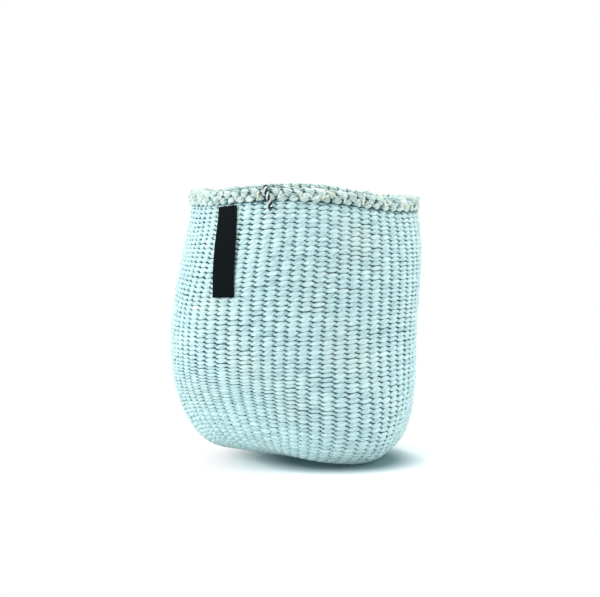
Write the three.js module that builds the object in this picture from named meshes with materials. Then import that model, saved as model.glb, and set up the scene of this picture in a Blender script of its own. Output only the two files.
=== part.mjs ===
// A kiondo basket: aqua strands twined round sixty-six upright stakes, under a plaited rim.
// Millimetres, +Z up. The origin is on the floor, under the middle of the base, and the camera side is -Y.
import * as THREE from "three";

// Overall form, measured on the outside of the weave.
const BELLY_WIDTH = 174;
const BELLY_DEPTH = 156;
const BELLY_HEIGHT = 79;
const NECK_WIDTH = 156;
const WEAVE_HEIGHT = 168;
const BASE_FLAT_WIDTH = 104;

// How the soft form departs from a plain round one.
const LEAN_AT_BELLY = -2;
const LEAN_AT_NECK = 4.7;
const LOOSE_EDGE_LIFT = 27;
const LOOSE_EDGE_ANGLE = THREE.MathUtils.degToRad(-133);
const LOOSE_EDGE_SPREAD = THREE.MathUtils.degToRad(92);
const FULL_CORNER_SHARE = 0.05;
const FULL_CORNER_SPREAD = THREE.MathUtils.degToRad(60);
const TOP_EDGE_RISE = 6.5;
const TOP_EDGE_ANGLE = THREE.MathUtils.degToRad(-94);
const TOP_EDGE_SPREAD = THREE.MathUtils.degToRad(66);
const CORNER_ANGLE_LOW = THREE.MathUtils.degToRad(-60);
const CORNER_ANGLE_HIGH = THREE.MathUtils.degToRad(-25);
const SQUARE_LOW_SHARE = 0.04;
const SQUARE_HIGH_SHARE = 0.018;
const CORNER_FULLNESS_SHARE = 0.82;
const NECK_CURVE_SHARE = 1.87;
const TOP_EDGE_TILT = 2;

// The stakes, each a sisal cord folded in two so that it gives two uprights.
const UPRIGHTS = 66;
const STAKE_DIAMETER = 2;
const STAKE_SIDES = 3;
const CROSS_STAKES_UNDER = 5;
const CROSS_STAKES_OVER = 6;
const CROSS_SPACING = 2.6;
const BOSS_RADIUS = 13.5;
const FOLD_RADIUS = 24.5;
const FOLD_LENGTH = 3.5;
const FOLD_ACROSS_SHARES = [0, 0.5, 1];
const FOLD_INWARD_SHARES = [0.75, 1, 0.75];
const UPRIGHTS_PER_HOOK = 2;

// The weft, as the layer of half turns outside the stakes and the layer inside them.
const CLEARANCE = 0.3;
const WEFT_THICKNESS = 1.6;
const GROOVE_DEPTH = 0.9;

// The rim, a plait of three strands that the ends of the stakes hold down.
const RIM_HEIGHT = 9.2;
const RIM_INSET = 1.5;
const PLAIT_STRANDS = 3;
const UPRIGHTS_PER_CROSSING = 1;
const PLAIT_STEPS_PER_TURN = 8;
const PLAIT_STRAND_HEIGHT = 3;
const PLAIT_STRAND_DEPTH = 2.8;
const PLAIT_STRAND_SIDES = 4;
const PLAIT_SWING = 2.7;

// The way of a stake or a cord round the rim, in radians about its middle, from under it, up the inside, over
// the top and down the outside. Its facets cut the round, so it stands out by a share more.
const ROUND_RIM_TURNS = [-2.55, -3.1, -3.85, -4.75, -5.6, -6.3, -6.95];
const ROUND_RIM_SHARE = 1.13;

// The cloth label, which hangs from its sewn top edge.
const LABEL_WIDTH = 16;
const LABEL_LENGTH = 58.5;
const LABEL_THICKNESS = 0.9;
const LABEL_TOP_ANGLE = THREE.MathUtils.degToRad(-129.7);
const LABEL_FOOT_ANGLE = THREE.MathUtils.degToRad(-123.5);
const LABEL_BELOW_RIM = 1.6;
const LABEL_SEAM = 0.5;
const LABEL_STEPS = 8;
const LABEL_STEPS_ACROSS = 4;

// The two-coloured cord that ties off the plait where it meets itself.
const TIE_DIAMETER = 2.6;
const TIE_KNOT_DIAMETER = 4;
const TIE_TOP_ANGLE = THREE.MathUtils.degToRad(-108);
const TIE_FOOT_ANGLE = THREE.MathUtils.degToRad(-104.5);
const TIE_SIDES = 6;

// What follows from the sizes above.
const STAKE_RADIUS = STAKE_DIAMETER / 2;
const LAYER_START = STAKE_RADIUS + CLEARANCE;
const WALL_HALF = LAYER_START + WEFT_THICKNESS;
const BELLY_REACH = BELLY_WIDTH / 2 - WALL_HALF;
const NECK_REACH = NECK_WIDTH / 2 - WALL_HALF;
const FLAT_REACH = BASE_FLAT_WIDTH / 2;
const BELLY_RISE = BELLY_HEIGHT - WALL_HALF;
const NECK_RISE = WEAVE_HEIGHT - BELLY_HEIGHT;
const LASHING_RADIUS = FOLD_RADIUS + FOLD_LENGTH - CLEARANCE;
const SECTORS = 2 * (CROSS_STAKES_UNDER + CROSS_STAKES_OVER);
const UPRIGHTS_IN_SECTOR = UPRIGHTS / SECTORS;
const CROSS_REACH = ((CROSS_STAKES_OVER - 1) / 2) * CROSS_SPACING + STAKE_DIAMETER + CLEARANCE;
const PLAIT_TURNS = UPRIGHTS / (PLAIT_STRANDS * UPRIGHTS_PER_CROSSING);
const FULL_TURN = 2 * Math.PI;
const COLUMN_ANGLE = FULL_TURN / UPRIGHTS;
const FIRST_COLUMN_ANGLE = THREE.MathUtils.degToRad(-91);
const RIM_ABOVE_WEAVE = STAKE_DIAMETER + 2 * CLEARANCE;
const UP = new THREE.Vector3(0, 0, 1);

// The profile is read by stage: 0 is the middle of the base, 1 the edge of its flat, 2 the belly and 3 the top.
const STAGE_FLAT = 1;
const STAGE_BELLY = 2;
const STAGE_TOP = 3;
const RING_STAGES = [STAGE_FLAT, 4 / 3, 5 / 3, STAGE_BELLY, 2.5, STAGE_TOP];

const lerp = THREE.MathUtils.lerp;
const smooth = (value, from, to) => THREE.MathUtils.smoothstep(value, from, to);

// 1 at the centre angle, falling to 0 at the spread on each side.
function bump(angle, centre, spread) {
  const away = Math.abs(Math.atan2(Math.sin(angle - centre), Math.cos(angle - centre)));
  return away < spread ? (1 + Math.cos((Math.PI * away) / spread)) / 2 : 0;
}

function profile(stage) {
  if (stage <= STAGE_FLAT) return { reach: FLAT_REACH * stage, rise: 0 };
  if (stage <= STAGE_BELLY) {
    const turn = ((stage - STAGE_FLAT) * Math.PI) / 2;
    return {
      reach: FLAT_REACH + (BELLY_REACH - FLAT_REACH) * Math.sin(turn) ** CORNER_FULLNESS_SHARE,
      rise: BELLY_RISE * (1 - Math.abs(Math.cos(turn)) ** CORNER_FULLNESS_SHARE),
    };
  }
  const up = stage - STAGE_BELLY;
  return {
    reach: BELLY_REACH - (BELLY_REACH - NECK_REACH) * up ** NECK_CURVE_SHARE,
    rise: BELLY_RISE + NECK_RISE * up,
  };
}

// A point on the middle surface of the wall, where the stakes run.
function wallMiddle(angle, stage) {
  const { reach, rise } = profile(stage);
  const heightShare = rise / (BELLY_RISE + NECK_RISE);
  const cornerAngle = lerp(CORNER_ANGLE_LOW, CORNER_ANGLE_HIGH, heightShare);
  const squareShare = lerp(SQUARE_LOW_SHARE, SQUARE_HIGH_SHARE, heightShare);
  const fullShare = FULL_CORNER_SHARE * (1 - smooth(rise, 0, BELLY_RISE));
  const round =
    reach *
    (1 + squareShare * Math.cos(4 * (angle - cornerAngle))) *
    (1 + fullShare * bump(angle, CORNER_ANGLE_LOW, FULL_CORNER_SPREAD));
  const lean = lerp(
    LEAN_AT_BELLY * smooth(rise, 0, BELLY_RISE),
    LEAN_AT_NECK,
    smooth(rise, BELLY_RISE, BELLY_RISE + NECK_RISE),
  );
  const looseShare = smooth(reach, FLAT_REACH / 2, BELLY_REACH) * (1 - smooth(rise, 0, BELLY_RISE));
  const lift = LOOSE_EDGE_LIFT * bump(angle, LOOSE_EDGE_ANGLE, LOOSE_EDGE_SPREAD) * looseShare;
  const raised = bump(angle, TOP_EDGE_ANGLE, TOP_EDGE_SPREAD) + bump(angle, -TOP_EDGE_ANGLE, TOP_EDGE_SPREAD);
  const topEdge = TOP_EDGE_RISE * raised - TOP_EDGE_TILT * Math.cos(angle);
  return new THREE.Vector3(
    round * Math.cos(angle) + lean,
    (round * Math.sin(angle) * BELLY_DEPTH) / BELLY_WIDTH,
    WALL_HALF + rise + lift + topEdge * smooth(rise, BELLY_RISE, BELLY_RISE + NECK_RISE),
  );
}

// The way out of the basket, square to the wall.
function wallNormal(angle, stage) {
  const step = COLUMN_ANGLE / UPRIGHTS;
  const low = Math.max(stage - step, step);
  const along = wallMiddle(angle + step, stage).sub(wallMiddle(angle - step, stage));
  const up = wallMiddle(angle, stage + step).sub(wallMiddle(angle, low));
  return along.cross(up).normalize();
}

const wallPoint = (angle, stage, out) =>
  wallMiddle(angle, stage).addScaledVector(wallNormal(angle, stage), out);

// A point over the weft as it is faceted, where the wall is straight from ring to ring.
function overWeft(angle, stage, out) {
  const above = RING_STAGES.findIndex((ring) => ring >= stage);
  const high = above > 0 ? above : RING_STAGES.length - 1;
  const [from, to] = [RING_STAGES[high - 1], RING_STAGES[high]];
  return wallPoint(angle, from, out).lerp(wallPoint(angle, to, out), (stage - from) / (to - from));
}

// The stage at which the middle of the wall is at a height, found by drawing nearer to it.
function stageAt(angle, height) {
  let stage = STAGE_TOP;
  for (let round = 0; round < STAGE_TOP; round++) {
    stage += (height - wallMiddle(angle, stage).z) / NECK_RISE;
  }
  return stage;
}

const columnAngle = (column) => FIRST_COLUMN_ANGLE + COLUMN_ANGLE * column;

// A closed body from points and triangles, turned so that its faces point out.
function closedBody(points, triangles) {
  let volume = 0;
  for (const [a, b, c] of triangles) {
    volume += points[a].dot(new THREE.Vector3().crossVectors(points[b], points[c]));
  }
  const faces = volume < 0 ? triangles.map(([a, b, c]) => [a, c, b]) : triangles;
  const geometry = new THREE.BufferGeometry().setFromPoints(points).setIndex(faces.flat());
  geometry.computeVertexNormals();
  return geometry;
}

// A body through a row of rings with the same number of points, closed at both ends.
function loft(rings) {
  const sides = rings[0].length;
  const triangles = [];
  for (let ring = 0; ring + 1 < rings.length; ring++) {
    for (let side = 0; side < sides; side++) {
      const here = ring * sides + side;
      const beside = ring * sides + ((side + 1) % sides);
      triangles.push([here, beside, here + sides], [beside, beside + sides, here + sides]);
    }
  }
  const last = (rings.length - 1) * sides;
  for (let side = 1; side + 1 < sides; side++) {
    triangles.push([0, side + 1, side], [last, last + side, last + side + 1]);
  }
  return closedBody(rings.flat(), triangles);
}

// A cord through a row of points. Each way is the side on which the cord's first edge runs there.
function cordBody(points, ways, radii, sides, depthRadii = radii) {
  const rings = points.map((point, i) => {
    const before = points[Math.max(i - 1, 0)];
    const after = points[Math.min(i + 1, points.length - 1)];
    const along = after.clone().sub(before).normalize();
    const out = ways[i].clone().addScaledVector(along, -along.dot(ways[i])).normalize();
    const across = new THREE.Vector3().crossVectors(along, out);
    return Array.from({ length: sides }, (_, side) => {
      const turn = (FULL_TURN * side) / sides;
      return point
        .clone()
        .addScaledVector(out, depthRadii[i] * Math.cos(turn))
        .addScaledVector(across, radii[i] * Math.sin(turn));
    });
  });
  return loft(rings);
}

// Materials, one for each thing the basket is made of.
const finish = (color, roughness) => new THREE.MeshStandardMaterial({ color, roughness, metalness: 0 });
const weftYarn = finish("#b3dfe0", 0.75);
const rimYarn = finish("#bcdcd8", 0.75);
const stakeSisal = finish("#e6d8b8", 0.9);
const labelCloth = finish("#1b2025", 0.7);
const tieYarn = finish("#55585a", 0.8);

const basket = new THREE.Group();

function addPiece(name, geometry, material, group = basket) {
  const mesh = new THREE.Mesh(geometry, material);
  mesh.name = name;
  group.add(mesh);
  return mesh;
}

// The weft layers. A face of ridges, one over each stake, is backed by a plain face that clears the stakes.
function weftLayer(side) {
  const stages = [(LASHING_RADIUS + CLEARANCE) / FLAT_REACH, ...RING_STAGES];
  const points = [];
  const ridged = stages.map((stage) => {
    const first = points.length;
    for (let half = 0; half < 2 * UPRIGHTS; half++) {
      const out = half % 2 ? WALL_HALF - GROOVE_DEPTH : WALL_HALF;
      points.push(wallPoint(columnAngle(half / 2), stage, side * out));
    }
    return first;
  });
  const plain = stages.map((stage) => {
    const first = points.length;
    for (let column = 0; column < UPRIGHTS; column++) {
      points.push(wallPoint(columnAngle(column), stage, side * LAYER_START));
    }
    return first;
  });
  const triangles = [];
  const strip = (low, high, count, turned) => {
    for (let i = 0; i < count; i++) {
      const next = (i + 1) % count;
      const faces = [
        [low + i, low + next, high + i],
        [low + next, high + next, high + i],
      ];
      triangles.push(...faces.map(([a, b, c]) => (turned ? [a, c, b] : [a, b, c])));
    }
  };
  const edge = (ridge, back, turned) => {
    for (let column = 0; column < UPRIGHTS; column++) {
      const next = (column + 1) % UPRIGHTS;
      const [crest, groove, nextCrest] = [ridge + 2 * column, ridge + 2 * column + 1, ridge + 2 * next];
      const faces = [
        [back + column, crest, groove],
        [back + column, groove, back + next],
        [back + next, groove, nextCrest],
      ];
      triangles.push(...faces.map(([a, b, c]) => (turned ? [a, c, b] : [a, b, c])));
    }
  };
  for (let ring = 0; ring + 1 < stages.length; ring++) {
    strip(ridged[ring], ridged[ring + 1], 2 * UPRIGHTS, false);
    strip(plain[ring], plain[ring + 1], UPRIGHTS, true);
  }
  edge(ridged[0], plain[0], true);
  edge(ridged.at(-1), plain.at(-1), false);
  return closedBody(points, triangles);
}

addPiece("weft_outside", weftLayer(1), weftYarn);
addPiece("weft_inside", weftLayer(-1), weftYarn);

// The first rounds of weft, which lash the crossed stakes. They lie flat under them and rise to a boss over them.
function lashing(heights) {
  const [underEdge, overEdge, underBoss, overBoss] = heights;
  const shoulderRadius = (BOSS_RADIUS + LASHING_RADIUS) / 2;
  const outline = [
    [BOSS_RADIUS, underBoss],
    [shoulderRadius, underEdge],
    [LASHING_RADIUS, underEdge],
    [LASHING_RADIUS, overEdge],
    [shoulderRadius, overEdge],
    [BOSS_RADIUS, overBoss],
  ];
  const rings = outline.map(([radius, height]) =>
    Array.from({ length: UPRIGHTS / 2 }, (_, side) =>
      wallMiddle(columnAngle(2 * side), radius / FLAT_REACH).setZ(height),
    ),
  );
  return loft(rings);
}

const FLOOR_OF_STAKES = WALL_HALF - LAYER_START;
const ROOF_OF_STAKES = WALL_HALF + LAYER_START;
const CROSS_RISE = STAKE_DIAMETER + CLEARANCE;
addPiece(
  "start_lashing_under",
  lashing([0, FLOOR_OF_STAKES, 0, FLOOR_OF_STAKES]),
  weftYarn,
);
addPiece(
  "start_lashing_inside",
  lashing([
    ROOF_OF_STAKES,
    ROOF_OF_STAKES + WEFT_THICKNESS,
    ROOF_OF_STAKES + CROSS_RISE,
    ROOF_OF_STAKES + CROSS_RISE + WEFT_THICKNESS,
  ]),
  weftYarn,
);

// The rim. Its lower edge stands a stake's thickness above the weave, and it is drawn in a little.
function rimPlace(angle) {
  const out = wallNormal(angle, STAGE_TOP).setZ(0).normalize();
  const middle = wallMiddle(angle, STAGE_TOP).addScaledVector(out, -RIM_INSET);
  middle.z += RIM_ABOVE_WEAVE + RIM_HEIGHT / 2;
  return { middle, out };
}

// Each strand swings up and down once a turn, and out and in twice, so that the three pass over each other.
function plaitStrand(number) {
  const steps = PLAIT_TURNS * PLAIT_STEPS_PER_TURN;
  const joinAngle = (TIE_TOP_ANGLE + TIE_FOOT_ANGLE) / 2;
  const points = [];
  const ways = [];
  for (let step = 0; step <= steps; step++) {
    const shortened = step === steps ? CLEARANCE / NECK_REACH : 0;
    const angle = joinAngle + (FULL_TURN * step) / steps - shortened;
    const phase = FULL_TURN * ((step + 1 / 2) / PLAIT_STEPS_PER_TURN + number / PLAIT_STRANDS);
    const { middle, out } = rimPlace(angle);
    const swing = (RIM_HEIGHT - PLAIT_STRAND_HEIGHT) / 2;
    points.push(
      middle
        .addScaledVector(UP, swing * Math.sin(phase))
        .addScaledVector(out, -PLAIT_SWING * Math.sin(2 * phase)),
    );
    ways.push(out);
  }
  const halfHeights = points.map(() => PLAIT_STRAND_HEIGHT / 2);
  const halfDepths = points.map(() => PLAIT_STRAND_DEPTH / 2);
  return cordBody(points, ways, halfHeights, PLAIT_STRAND_SIDES, halfDepths);
}

for (let number = 0; number < PLAIT_STRANDS; number++) {
  addPiece(`rim_strand_${number + 1}`, plaitStrand(number), rimYarn);
}

const RIM_HALF_DEPTH = PLAIT_SWING * Math.sin(Math.PI / 3) + PLAIT_STRAND_DEPTH / 2 + CLEARANCE;

function roundRim(angleAt, radius) {
  return ROUND_RIM_TURNS.map((turn, i) => {
    const { middle, out } = rimPlace(angleAt(i / (ROUND_RIM_TURNS.length - 1)));
    const halfHeight = RIM_HEIGHT / 2 + CLEARANCE + radius;
    const halfDepth = RIM_HALF_DEPTH + CLEARANCE + radius;
    const way = new THREE.Vector3()
      .addScaledVector(out, Math.cos(turn))
      .addScaledVector(UP, Math.sin(turn));
    const point = middle
      .clone()
      .addScaledVector(out, ROUND_RIM_SHARE * halfDepth * Math.cos(turn))
      .addScaledVector(UP, ROUND_RIM_SHARE * halfHeight * Math.sin(turn));
    return { point, way };
  });
}

// The stakes. A leg runs out from the base, up between the weft layers to the top of the weave. Each even one is
// then turned over the rim, where it holds the plait down. The first edge of a stake faces into the basket.
function leg(column) {
  const angle = columnAngle(column);
  const upright = RING_STAGES.map((stage) => ({
    point: wallMiddle(angle, stage),
    way: wallNormal(angle, stage).negate(),
  }));
  return column % UPRIGHTS_PER_HOOK === 0 ? [...upright, ...roundRim(() => angle, STAKE_RADIUS)] : upright;
}

const basePoint = (angle, radius) => ({ point: wallMiddle(angle, radius / FLAT_REACH), way: UP });

function stakeBody(path) {
  const radii = path.map(() => STAKE_RADIUS);
  return cordBody(
    path.map((step) => step.point),
    path.map((step) => step.way),
    radii,
    STAKE_SIDES,
  );
}

let stakeNumber = 0;
function addStake(path) {
  stakeNumber += 1;
  addPiece(`warp_stake_${String(stakeNumber).padStart(2, "0")}`, stakeBody(path), stakeSisal);
}

// A few stakes cross in the middle of the base, one set lying over the other.
function crossStake(column, place, rise) {
  const across = columnAngle(column);
  const sideStep = place * UPRIGHTS_IN_SECTOR;
  const offset = place * CROSS_SPACING;
  const half = (side, endColumn) => {
    const reach = side * CROSS_REACH;
    const middle = new THREE.Vector3(
      reach * Math.cos(across) - offset * Math.sin(across),
      reach * Math.sin(across) + offset * Math.cos(across),
      WALL_HALF + rise,
    );
    const ray = [BOSS_RADIUS, FOLD_RADIUS + FOLD_LENGTH].map((radius) =>
      basePoint(columnAngle(endColumn), radius),
    );
    return [{ point: middle, way: UP }, ...ray, ...leg(endColumn)];
  };
  addStake([...half(1, column + sideStep).reverse(), ...half(-1, column + UPRIGHTS / 2 - sideStep)]);
}

for (const [stakes, column, rise] of [
  [CROSS_STAKES_UNDER, 0, 0],
  [CROSS_STAKES_OVER, UPRIGHTS / 4, CROSS_RISE],
]) {
  for (let stake = 0; stake < stakes; stake++) {
    crossStake(column, stake - (stakes - 1) / 2, rise);
  }
}

// The others are folded in two over a round of weft, one in each gap between the crossed ones.
function foldedStake(column) {
  const fold = FOLD_ACROSS_SHARES.map((across, i) =>
    basePoint(columnAngle(column + across), FOLD_RADIUS + FOLD_LENGTH * (1 - FOLD_INWARD_SHARES[i])),
  );
  const half = (endColumn) => [basePoint(columnAngle(endColumn), FOLD_RADIUS + FOLD_LENGTH), ...leg(endColumn)];
  addStake([...half(column).reverse(), ...fold, ...half(column + 1)]);
}

for (let sector = 0; sector < SECTORS; sector++) {
  foldedStake(sector * UPRIGHTS_IN_SECTOR + 1);
}

// The label, a strip that lies on the ridges of the weave and turns about its sewn top edge.
const LABEL_OUT = WALL_HALF + CLEARANCE + LABEL_THICKNESS / 2;

function labelBody(topHeight) {
  const rings = [];
  for (let step = 0; step <= LABEL_STEPS; step++) {
    const share = step / LABEL_STEPS;
    const angle = lerp(LABEL_TOP_ANGLE, LABEL_FOOT_ANGLE, share);
    const stage = stageAt(angle, topHeight - LABEL_LENGTH * share);
    const columnEdges = [-1, 1].map((side) => overWeft(angle + (side * COLUMN_ANGLE) / 2, stage, LABEL_OUT));
    const columnWidth = columnEdges[0].distanceTo(columnEdges[1]);
    const ring = [];
    for (const side of [1, -1]) {
      for (let place = 0; place <= LABEL_STEPS_ACROSS; place++) {
        const shareAcross = side * (place / LABEL_STEPS_ACROSS - 1 / 2);
        const turned = angle + (shareAcross * LABEL_WIDTH * COLUMN_ANGLE) / columnWidth;
        ring.push(overWeft(turned, stage, LABEL_OUT + (side * LABEL_THICKNESS) / 2));
      }
    }
    rings.push(ring);
  }
  return loft(rings);
}

const labelTop = wallMiddle(LABEL_TOP_ANGLE, STAGE_TOP).z + RIM_ABOVE_WEAVE - LABEL_BELOW_RIM;
const labelPivot = new THREE.Group();
const pivotStage = stageAt(LABEL_TOP_ANGLE, labelTop - LABEL_SEAM);
labelPivot.name = "label_pivot";
labelPivot.position.copy(overWeft(LABEL_TOP_ANGLE, pivotStage, LABEL_OUT));
basket.add(labelPivot);
const labelGeometry = labelBody(labelTop).translate(...labelPivot.position.clone().negate().toArray());
addPiece("label", labelGeometry, labelCloth, labelPivot);

// The tie cord goes once round the plait and ends in a knot on each face of the wall.
function tieCord() {
  const radius = TIE_DIAMETER / 2;
  const knotRadius = TIE_KNOT_DIAMETER / 2;
  const round = roundRim((share) => lerp(TIE_TOP_ANGLE, TIE_FOOT_ANGLE, share ** 2), radius);
  const knot = (angle, side, below) => {
    const stage = STAGE_TOP - below / NECK_RISE;
    const out = WALL_HALF + CLEARANCE + knotRadius;
    return { point: wallPoint(angle, stage, side * out), way: wallNormal(angle, stage).multiplyScalar(side) };
  };
  const inner = [knotRadius * 2, knotRadius, 0].map((below) => knot(TIE_TOP_ANGLE, -1, below));
  const outer = [0, knotRadius, knotRadius * 2].map((below) => knot(TIE_FOOT_ANGLE, 1, below));
  const path = [...inner, ...round.slice(1), ...outer];
  const knotRadii = [radius / 2, knotRadius, knotRadius];
  const radii = [...knotRadii, ...round.slice(1).map(() => radius), ...knotRadii.toReversed()];
  return cordBody(
    path.map((step) => step.point),
    path.map((step) => step.way),
    radii,
    TIE_SIDES,
  );
}

addPiece("tie_cord", tieCord(), tieYarn);

export default basket;
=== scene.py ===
import math

import bpy
import numpy as np
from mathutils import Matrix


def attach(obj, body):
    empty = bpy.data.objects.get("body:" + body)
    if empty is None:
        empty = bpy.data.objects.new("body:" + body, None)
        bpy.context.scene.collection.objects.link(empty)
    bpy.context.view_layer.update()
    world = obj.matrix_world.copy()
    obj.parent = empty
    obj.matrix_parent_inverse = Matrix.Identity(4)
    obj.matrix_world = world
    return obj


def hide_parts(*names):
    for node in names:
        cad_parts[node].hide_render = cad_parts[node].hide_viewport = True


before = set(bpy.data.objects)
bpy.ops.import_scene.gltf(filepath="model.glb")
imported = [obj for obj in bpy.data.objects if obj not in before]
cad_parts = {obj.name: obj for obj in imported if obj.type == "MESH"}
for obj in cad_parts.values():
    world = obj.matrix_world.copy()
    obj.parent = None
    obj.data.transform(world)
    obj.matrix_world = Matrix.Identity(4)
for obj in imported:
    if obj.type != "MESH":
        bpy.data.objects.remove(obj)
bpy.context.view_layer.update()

bpy.ops.object.select_all(action="DESELECT")


# The camera
# The picture was taken from the side with the label, from a little above the middle of the basket and
# with a long lens, so the camera stands well back and looks slightly down.

CAMERA_DISTANCE = 1.2
CAMERA_ELEVATION = math.radians(5)
CAMERA_AIM = (0.002, 0.0, 0.1085)
CAMERA_LENS = 104.6
NEAREST_SEEN = 0.01

bpy.ops.object.camera_add(
    location=(
        CAMERA_AIM[0],
        CAMERA_AIM[1] - CAMERA_DISTANCE * math.cos(CAMERA_ELEVATION),
        CAMERA_AIM[2] + CAMERA_DISTANCE * math.sin(CAMERA_ELEVATION),
    ),
    rotation=(math.pi / 2 - CAMERA_ELEVATION, 0, 0),
)
camera = bpy.context.object
camera.name = "studio_camera"
camera.data.lens = CAMERA_LENS
camera.data.clip_start = NEAREST_SEEN
bpy.context.scene.camera = camera


# The twined wall and base
# Two strands of pale aqua yarn run side by side in one long spiral from the base to the rim. Between every
# two uprights they change places, so one passes outside an upright while the other passes inside it. Soft
# spun yarn, beaten down row on row until the stitches touch.

UPRIGHTS = 66
COLUMN_ANGLE = 2 * math.pi / UPRIGHTS

# The form of the wall. The belly is its widest place, and the neck is where the weave ends.
BELLY_WIDTH, BELLY_DEPTH, BELLY_HEIGHT = 0.174, 0.156, 0.079
NECK_WIDTH, WEAVE_HEIGHT, BASE_FLAT_WIDTH = 0.156, 0.168, 0.104
WALL_HALF = 0.0029
CORNER_FULLNESS, NECK_CURVE = 0.82, 1.87
BELLY_REACH = BELLY_WIDTH / 2 - WALL_HALF
NECK_REACH = NECK_WIDTH / 2 - WALL_HALF
FLAT_REACH = BASE_FLAT_WIDTH / 2
BELLY_RISE = BELLY_HEIGHT - WALL_HALF
NECK_RISE = WEAVE_HEIGHT - BELLY_HEIGHT
TOP_STAGE = 3.0
# It leans to one side, and from above it is a little square, with one of its lower corners the fullest.
LEAN_AT_BELLY, LEAN_AT_NECK = -0.002, 0.0047
CORNER_ANGLE_LOW, CORNER_ANGLE_HIGH = math.radians(-60), math.radians(-25)
SQUARE_LOW_SHARE, SQUARE_HIGH_SHARE = 0.04, 0.018
FULL_CORNER_SHARE, FULL_CORNER_SPREAD = 0.05, math.radians(60)
# On one side the edge of the base stands off the table.
LOOSE_EDGE_LIFT, LOOSE_EDGE_CURVE = 0.027, 1.75
LOOSE_EDGE_ANGLE, LOOSE_EDGE_SPREAD = math.radians(-133), math.radians(92)
# The mouth is higher at the front and the back than at its two ends, and one end is lower than the other.
TOP_EDGE_RISE, TOP_EDGE_TILT = 0.0065, 0.002
TOP_EDGE_ANGLE, TOP_EDGE_SPREAD = math.radians(-94), math.radians(66)


def ease(value, low, high):
    """0 below low and 1 above high, with a smooth step between them."""
    share = np.clip((value - low) / (high - low), 0, 1)
    return share * share * (3 - 2 * share)


def bump(angle, centre, spread):
    """1 at the centre angle, falling to 0 at the spread on each side."""
    away = np.abs(np.arctan2(np.sin(angle - centre), np.cos(angle - centre)))
    return np.where(away < spread, (1 + np.cos(np.pi * away / spread)) / 2, 0)


def wall_middle(angle, stage):
    """The wall's middle. Stage 0 is the base's centre, 1 the edge of its flat, 2 the belly, 3 the top."""
    angle, stage = np.broadcast_arrays(np.asarray(angle, float), np.asarray(stage, float))
    turn = np.clip(stage - 1, 0, 1) * np.pi / 2
    up = np.clip(stage - 2, 0, None)
    reach = np.where(
        stage <= 1,
        FLAT_REACH * stage,
        FLAT_REACH + (BELLY_REACH - FLAT_REACH) * np.sin(turn) ** CORNER_FULLNESS,
    )
    reach = reach - (BELLY_REACH - NECK_REACH) * up**NECK_CURVE
    low_rise = BELLY_RISE * (1 - np.abs(np.cos(turn)) ** CORNER_FULLNESS)
    rise = np.where(stage <= 1, 0, low_rise) + NECK_RISE * up
    rise_share = rise / (BELLY_RISE + NECK_RISE)
    corner_angle = CORNER_ANGLE_LOW + (CORNER_ANGLE_HIGH - CORNER_ANGLE_LOW) * rise_share
    square = SQUARE_LOW_SHARE + (SQUARE_HIGH_SHARE - SQUARE_LOW_SHARE) * rise_share
    low_part = 1 - ease(rise, 0, BELLY_RISE)
    high_part = ease(rise, BELLY_RISE, BELLY_RISE + NECK_RISE)
    round_reach = (
        reach
        * (1 + square * np.cos(4 * (angle - corner_angle)))
        * (1 + FULL_CORNER_SHARE * low_part * bump(angle, CORNER_ANGLE_LOW, FULL_CORNER_SPREAD))
    )
    lean_low = LEAN_AT_BELLY * (1 - low_part)
    lean = lean_low + (LEAN_AT_NECK - lean_low) * high_part
    loose = (reach / BELLY_REACH) ** LOOSE_EDGE_CURVE * low_part
    lift = LOOSE_EDGE_LIFT * bump(angle, LOOSE_EDGE_ANGLE, LOOSE_EDGE_SPREAD) * loose
    raised = bump(angle, TOP_EDGE_ANGLE, TOP_EDGE_SPREAD) + bump(angle, -TOP_EDGE_ANGLE, TOP_EDGE_SPREAD)
    top_edge = TOP_EDGE_RISE * raised - TOP_EDGE_TILT * np.cos(angle)
    return np.stack(
        [
            round_reach * np.cos(angle) + lean,
            round_reach * np.sin(angle) * BELLY_DEPTH / BELLY_WIDTH,
            WALL_HALF + rise + lift + top_edge * high_part,
        ],
        axis=-1,
    )


def unit(vectors):
    """Each vector at a length of 1."""
    return vectors / np.maximum(np.linalg.norm(vectors, axis=-1, keepdims=True), 1e-12)


def wall_normal(angle, stage):
    """The way out of the basket, square to the wall."""
    step = COLUMN_ANGLE / UPRIGHTS
    along = wall_middle(angle + step, stage) - wall_middle(angle - step, stage)
    up = wall_middle(angle, stage + step) - wall_middle(angle, np.maximum(stage - step, step))
    return unit(np.cross(along, up))


# The run is the mean length up the wall from the centre of the base, so that rows can be spaced evenly. The
# tables that turn it into a stage and back go a little past the top of the weave.
LAST_STAGE, STAGES, WALL_LINES = 3.25, 1301, 24
stage_table = np.linspace(0, LAST_STAGE, STAGES)
wall_lines = wall_middle(np.linspace(-np.pi, np.pi, WALL_LINES + 1)[:-1, None], stage_table[None, :])
line_steps = np.linalg.norm(np.diff(wall_lines, axis=1), axis=2)
run_table = np.concatenate([[0], np.cumsum(line_steps.mean(0))])


def run_of(stage):
    """The run at a stage."""
    return np.interp(stage, stage_table, run_table)


def stage_of(run):
    """The stage at a run."""
    return np.interp(run, run_table, stage_table)


TOP_RUN = run_of(TOP_STAGE)

# Handwork is uneven. A place on the wall is off to one side by up to about this share of a column, and up or
# down and in or out by up to about these heights. The middle of the base is even, and the rim holds the rows.
SIDEWAYS_SHARE, HEIGHT_UNEVENNESS, DENT_DEPTH = 0.12, 0.0006, 0.0005
UNEVEN_FROM, HELD_AT_TOP = (0.03, 0.08), 0.02
RIPPLE_WAVES, RIPPLE_TURNS, RIPPLE_LENGTH = 6, (2, 9), 0.07


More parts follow.
